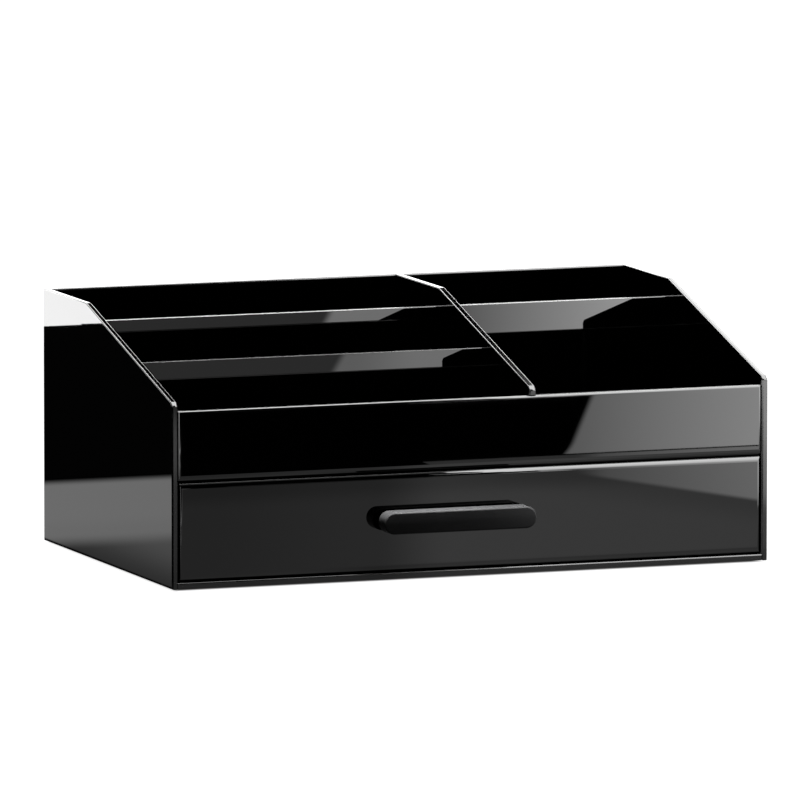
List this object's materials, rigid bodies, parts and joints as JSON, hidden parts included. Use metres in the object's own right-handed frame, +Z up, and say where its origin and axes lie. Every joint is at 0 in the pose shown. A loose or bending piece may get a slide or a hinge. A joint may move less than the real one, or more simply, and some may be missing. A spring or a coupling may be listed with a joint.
{
  "type": "bathroom organizer",
  "caption": "Gloss black organizer with sloping side panels, open compartments above and a full-width drawer with a pill-shaped handle below.",
  "frame": {"origin": "on the supporting surface, under the middle of the whole object with its handle", "axes": "+X to the right seen from the front, +Y to the back, +Z up; the drawer opens towards -Y"},
  "size_m": [0.32, 0.2132, 0.1309],
  "materials": {
    "case_acrylic": "high gloss black acrylic sheet with polished edges",
    "drawer_acrylic": "high gloss black acrylic sheet with polished edges",
    "handle_satin": "satin black",
    "screw_steel": "plain steel screws",
    "pad_rubber": "matt black anti-slip pads"
  },
  "bodies": {
    "case": {"left_side_panel": "case_acrylic", "right_side_panel": "case_acrylic", "centre_divider": "case_acrylic", "back_panel": "case_acrylic", "fascia": "case_acrylic", "base_panel": "case_acrylic", "deck_panel": "case_acrylic", "left_front_partition": "case_acrylic", "left_rear_partition": "case_acrylic", "right_partition": "case_acrylic", "pad_front_left": "pad_rubber", "pad_front_right": "pad_rubber", "pad_rear_left": "pad_rubber", "pad_rear_right": "pad_rubber"},
    "drawer": {"drawer_front": "drawer_acrylic", "drawer_left_side": "drawer_acrylic", "drawer_right_side": "drawer_acrylic", "drawer_back": "drawer_acrylic", "drawer_floor": "drawer_acrylic", "handle_bar": "handle_satin", "handle_post_left": "handle_satin", "handle_post_right": "handle_satin", "handle_screw_left": "screw_steel", "handle_screw_right": "screw_steel"}
  },
  "joints": [
    {"name": "drawer_slide", "type": "slide", "parent": "case", "child": "drawer", "axis": [0, -1, 0], "range_m": [0, 0.15]}
  ]
}
